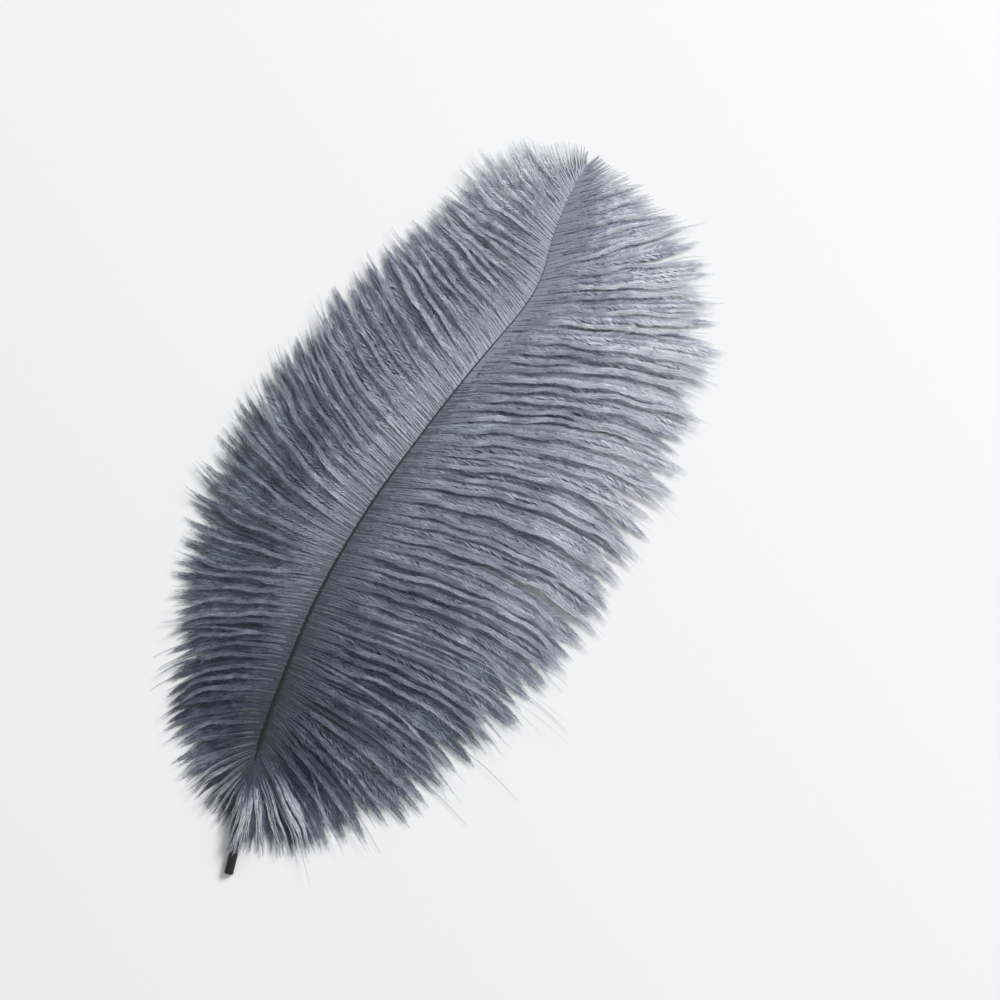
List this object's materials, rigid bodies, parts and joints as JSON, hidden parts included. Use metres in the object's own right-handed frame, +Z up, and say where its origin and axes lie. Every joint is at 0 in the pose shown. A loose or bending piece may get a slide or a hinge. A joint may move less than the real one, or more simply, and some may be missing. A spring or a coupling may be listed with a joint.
{
  "type": "ostrich feather",
  "caption": "Dyed blue-grey ostrich plume lying hollow side down: curved shaft with a cut quill and soft, drooping locks of barbs on both sides, the lowest swept back over the quill.",
  "frame": {"origin": "on the surface the feather lies on, under the middle of its outline", "axes": "+Z up; +Y along the feather from the cut quill to the tip; +X to the wider side of the vane"},
  "size_m": [0.2095, 0.3643, 0.019],
  "materials": {
    "barbs": "soft, dyed keratin barbs with fine fluff",
    "quill": "satin, dyed near-black keratin"
  },
  "bodies": {
    "root": {"feather": "barbs"}
  },
  "joints": []
}
